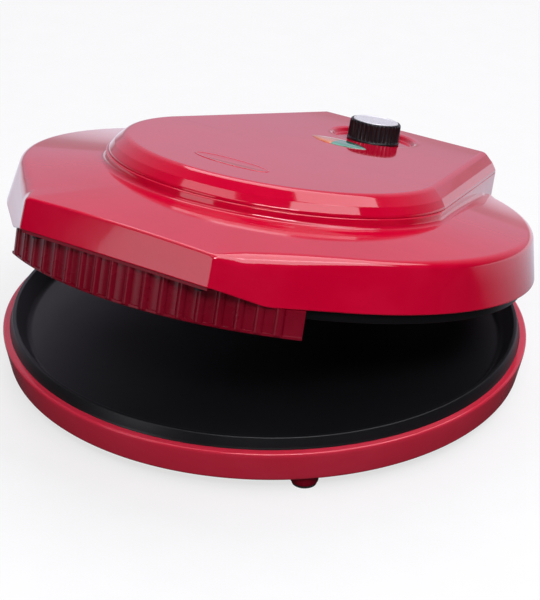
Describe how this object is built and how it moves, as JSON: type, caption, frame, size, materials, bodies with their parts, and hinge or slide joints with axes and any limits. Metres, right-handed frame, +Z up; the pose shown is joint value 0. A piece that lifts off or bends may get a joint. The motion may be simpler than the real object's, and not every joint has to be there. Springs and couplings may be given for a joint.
{
  "type": "electric pizza maker",
  "caption": "Round electric pizza maker: a red base and a red lid with black baking plates, hinged at the rear, with a ribbed front guard, a control knob and lamps.",
  "frame": {"origin": "on the worktop, under the middle of the whole appliance at rest", "axes": "+X to the right as seen from the handle, +Y towards the hinge, +Z up"},
  "size_m": [0.33, 0.352, 0.1593],
  "materials": {
    "red_plastic": "gloss",
    "dark_red_plastic": "gloss",
    "nonstick": "black non-stick coating, satin",
    "steel_sheet": "plain",
    "screw_steel": "zinc plated",
    "element_tube": "matt",
    "black_plastic": "fine grain",
    "rubber": "matt",
    "white_plastic": "plain",
    "fuse_sleeve": "woven sleeve",
    "wire_blue": "insulated",
    "cap_metal": "satin",
    "lens_orange": "translucent",
    "lens_green": "translucent",
    "lamp_glass": "clear"
  },
  "bodies": {
    "base": {"base_shell": "red_plastic", "bottom_plate": "steel_sheet", "feet": "dark_red_plastic", "foot_pads": "rubber", "lower_baking_plate": "nonstick", "lower_element": "element_tube", "lower_element_clips": "steel_sheet", "lower_reflector": "steel_sheet", "base_screws": "screw_steel", "cord_bush": "black_plastic", "terminal_block": "white_plastic", "terminal_screws": "screw_steel", "thermal_fuse": "fuse_sleeve", "base_wires": "wire_blue", "hinge_bracket_left": "red_plastic", "hinge_bracket_right": "red_plastic", "bracket_screws": "screw_steel", "hinge_pins": "screw_steel", "link_wires": "black_plastic", "hinge_caps": "dark_red_plastic"},
    "lid": {"lid_shell": "red_plastic", "top_cover": "red_plastic", "finger_guard": "dark_red_plastic", "guard_screws": "screw_steel", "upper_baking_plate": "nonstick", "upper_element": "element_tube", "upper_element_clips": "steel_sheet", "upper_reflector": "steel_sheet", "lid_screws": "screw_steel", "cover_screws": "screw_steel", "thermostat_body": "white_plastic", "thermostat_bracket": "steel_sheet", "thermostat_screws": "screw_steel", "thermostat_nut": "screw_steel", "lamp_holder": "white_plastic", "pilot_lamps": "lamp_glass", "lid_wires": "wire_blue", "lens_orange": "lens_orange", "lens_green": "lens_green", "badge_plate": "red_plastic"},
    "knob": {"control_knob": "black_plastic", "knob_cap": "cap_metal", "thermostat_spindle": "screw_steel"}
  },
  "joints": [
    {"name": "lid_hinge", "type": "hinge", "parent": "base", "child": "lid", "pos_m": [0, 0.167, 0.0395], "axis": [-1, 0, 0], "range_deg": [-13.7, 81.3]},
    {"name": "knob_turn", "type": "hinge", "parent": "lid", "child": "knob", "pos_m": [0, 0.11797, 0.10858], "axis": [0, -0.2368, -0.9715], "range_deg": [0, 270]}
  ]
}
